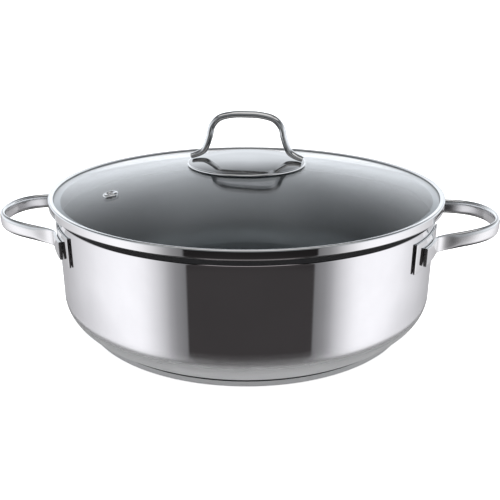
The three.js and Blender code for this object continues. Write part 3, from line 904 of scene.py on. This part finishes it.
def screw_stack():
    """Boss, gaskets, washer and screw that hold the handle through the glass."""
    glass_high = glass_top(0)
    glass_low = glass_high - GLASS_THICK
    gasket_high = glass_high + GAP + GASKET_THICK
    bore = SCREW_RADIUS + GAP
    boss_high = plate_top(BOSS_RADIUS) - PLATE_THICK - GAP
    inner_low = glass_low - GAP - GASKET_THICK
    washer_high = inner_low - GAP
    washer_low = washer_high - WASHER_THICK
    head_high = washer_low - GAP
    head_low = head_high - SCREW_HEAD_HEIGHT
    screw_top = boss_high - 2 * GAP
    rings = [
        ("boss", "handle_boss", BOSS_RADIUS, gasket_high + GAP, boss_high, SATIN, "polished_steel"),
        ("top_gasket", "plate_gasket", GASKET_RADIUS, glass_high + GAP, gasket_high, SILICONE, "silicone"),
        ("low_gasket", "inner_gasket", GASKET_RADIUS, inner_low, glass_low - GAP, SILICONE, "silicone"),
        ("washer", "inner_washer", WASHER_RADIUS, washer_low, washer_high, SATIN, "polished_steel"),
    ]
    for name, node, radius, low, high, material, slot in rings:
        piece(name, ring(name, bore, radius, low, high), "lid", [material], slot, node, turn=LID_PLACE)
    profile = rounded([
        (0, head_low, 0), (SCREW_HEAD, head_low, SCREW_HEAD_HEIGHT / 3),
        (SCREW_HEAD, head_high, SMALL_ROUND), (SCREW_RADIUS, head_high, 0),
        (SCREW_RADIUS, screw_top, SMALL_ROUND), (0, screw_top, 0),
    ])
    screw = piece("screw", turned("screw", profile, SMALL_TURN_STEPS), "lid", [SATIN], "polished_steel",
                  "lid_screw", turn=LID_PLACE)
    socket_low = head_low - MM
    socket_top = head_low + SCREW_HEAD_HEIGHT * SCREW_SOCKET_DEPTH
    socket = turned("socket", [(0, socket_low), (SCREW_SOCKET, socket_low), (SCREW_SOCKET, socket_top),
                               (0, socket_top)], HEXAGON)
    drilled(screw, socket)


def studio_floor():
    """Wide pale floor that glows a little; the steel doesn't mirror it."""
    mesh = bpy.data.meshes.new("floor")
    signs = ((-1, -1), (1, -1), (1, 1), (-1, 1))
    mesh.from_pydata([(x * FLOOR_HALF, y * FLOOR_HALF, FLOOR_LEVEL) for x, y in signs], [], [(0, 1, 2, 3)])
    mesh.materials.append(pale_floor())
    floor = linked(bpy.data.objects.new("floor", mesh))
    floor.visible_glossy = False


def floor_card():
    """Pale disc on the floor under the pan that only the steel's reflections see."""
    bm = bmesh.new()
    edge = [(CARD_RADIUS * math.cos(a), CARD_RADIUS * math.sin(a), CARD_LEVEL) for a in circle(TURN_STEPS)]
    bm.faces.new([bm.verts.new(point) for point in edge])
    mesh = mesh_of("card", bm)
    mesh.materials.append(glowing_card())
    card = linked(bpy.data.objects.new("card", mesh))
    card.visible_camera = card.visible_diffuse = card.visible_shadow = card.visible_transmission = False


def studio_world():
    """Soft studio for the steel to mirror, plain white to the camera.

    White walls at the sides, a dark opening at the front, a window at the back, a dark rail low beside
    it, a sky that dims upward and an overhead light that is brightest towards the front.
    """
    world = bpy.data.worlds.new("studio")
    bpy.context.scene.world = world
    world.use_nodes = True
    n = Nodes(world.node_tree)
    direction = n.add("ShaderNodeTexCoord", "Generated")
    turned_way = n.add("ShaderNodeVectorRotate", inputs={"Vector": direction, "Angle": -FRONT},
                       rotation_type="Z_AXIS")
    x, y, z = n.axes(turned_way)
    elevation = n.math("DEGREES", n.math("ARCSINE", z))
    depth = n.math("MULTIPLY", elevation, -1.0)
    forward = n.math("MULTIPLY", y, -1.0)
    azimuth = n.math("DEGREES", n.math("ABSOLUTE", n.math("ARCTAN2", x, forward)))

    def by_azimuth(stops):
        return n.ramp(azimuth, stops, HALF_TURN)

    def by_elevation(stops):
        return n.ramp(elevation, stops, QUARTER_TURN)

    def by_depth(stops, lowered=depth):
        return n.ramp(lowered, stops, QUARTER_TURN)

    front = n.times(by_depth(FRONT_BY_DEPTH), FRONT_TINT)
    fade_depth = n.math("ADD", depth, n.spread(azimuth, *FADE_SIDE, 0, FADE_RISE))
    walls = n.times(by_azimuth(WALLS_BY_AZIMUTH), by_depth(FADE_BY_DEPTH, fade_depth))
    walls = n.times(walls, WALL_TINT)
    low = n.mix(n.spread(azimuth, *FRONT_EDGE, 0, 1), front, walls)

    sky = n.ramp(n.math("ADD", elevation, SKY_BELOW), SKY_FROM_THERE, QUARTER_TURN + SKY_BELOW)
    sky = n.times(sky, by_azimuth(SHADE_BY_AZIMUTH))
    window = n.times(by_elevation(WINDOW_BY_ELEVATION), by_azimuth(WINDOW_BY_AZIMUTH))
    sky = n.times(n.plus(sky, window), SKY_TINT)
    overhead = n.times(by_elevation(OVERHEAD_BY_ELEVATION), by_azimuth(OVERHEAD_BY_AZIMUTH))
    overhead = n.plus(overhead, by_elevation(ZENITH_BY_ELEVATION))
    above_start = n.math("SUBTRACT", elevation, n.spread(azimuth, *OVERHEAD_SIDE, *OVERHEAD_FROM))
    high = n.mix(n.spread(above_start, 0, OVERHEAD_BLEND, 0, 1, smooth=True), sky, overhead)

    light = n.mix(n.spread(elevation, *HORIZON_EDGE, 0, 1, smooth=True), low, high)
    rail = n.math("MULTIPLY", by_depth(RAIL_BY_DEPTH), by_azimuth(RAIL_BY_AZIMUTH))
    light = n.mix(rail, light, grey(RAIL_LEVEL))
    seen_directly = n.add("ShaderNodeLightPath", "Is Camera Ray")
    light = n.mix(seen_directly, light, grey(BACKDROP))
    shader = n.add("ShaderNodeBackground", inputs={"Color": light, "Strength": 1.0})
    n.add("ShaderNodeOutputWorld", inputs={"Surface": shader})


def studio_lamp():
    """Wide even light from above that brightens the floor; the polished steel doesn't mirror it."""
    lamp = bpy.data.lights.new("overhead", "SUN")
    lamp.energy = LAMP_ENERGY
    lamp.angle = LAMP_ANGLE
    obj = linked(bpy.data.objects.new("overhead", lamp))
    obj.location = (0, 0, LAMP_HEIGHT)
    obj.visible_glossy = obj.visible_transmission = False


def camera():
    data = bpy.data.cameras.new("camera")
    data.sensor_width = SENSOR_WIDTH
    data.lens = SENSOR_WIDTH * FOCAL_PIXELS / IMAGE_SIDE
    data.shift_x = (IMAGE_SIDE / 2 - AXIS_PIXEL) / IMAGE_SIDE
    data.clip_start = CAMERA_NEAREST
    obj = linked(bpy.data.objects.new("camera", data))
    obj.location = (CAMERA_DISTANCE * math.sin(CAMERA_AZIMUTH), -CAMERA_DISTANCE * math.cos(CAMERA_AZIMUTH),
                    CAMERA_HEIGHT)
    obj.rotation_euler = (math.pi / 2 - CAMERA_PITCH, 0, CAMERA_AZIMUTH)
    bpy.context.scene.camera = obj


pan_shell()
base_cap()
keep_core()
side_handles()
lid_glass()
lid_rim_band()
steam_vent()
handle_plate()
lid_handle()
screw_stack()
studio_floor()
floor_card()
studio_world()
studio_lamp()
camera()
bpy.context.scene.view_settings.view_transform = "Standard"
